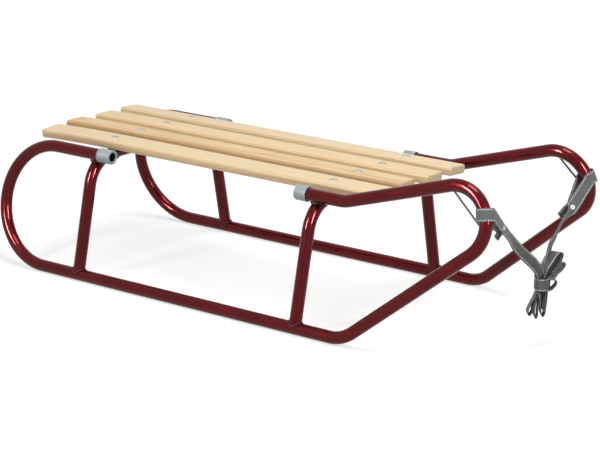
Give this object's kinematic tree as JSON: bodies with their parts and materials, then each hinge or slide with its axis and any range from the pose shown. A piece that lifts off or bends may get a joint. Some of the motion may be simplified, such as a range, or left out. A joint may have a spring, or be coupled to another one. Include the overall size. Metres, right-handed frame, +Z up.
{
  "type": "steel tube sled with wooden slat seat",
  "caption": "Snow sled of bent steel tube with inward-leaning runners, a wooden slat seat and a webbing tow strap.",
  "frame": {"origin": "on the ground under the middle of the sled's length and width", "axes": "+X forward to the raised noses, +Y to the rider's left, +Z up"},
  "size_m": [0.9671, 0.406, 0.2762],
  "materials": {
    "lacquer": "glossy candy burgundy lacquer over steel tube",
    "wood": "planed light softwood with eased edges, clear satin coat",
    "cap_plastic": "moulded light grey plastic",
    "rod_steel": "thin dark steel wire",
    "webbing": "woven grey webbing with pale stitching along both edges"
  },
  "bodies": {
    "root": {"runner_right": "lacquer", "runner_left": "lacquer", "bow_rear": "lacquer", "bow_front": "lacquer", "slat_1": "wood", "slat_2": "wood", "slat_3": "wood", "slat_4": "wood", "cap_rear_right": "cap_plastic", "cap_rear_left": "cap_plastic", "cap_front_right": "cap_plastic", "cap_front_left": "cap_plastic", "guard_rod_right": "rod_steel", "guard_rod_left": "rod_steel", "strap_right": "webbing", "strap_left": "webbing", "strap_hank": "webbing"}
  },
  "joints": []
}
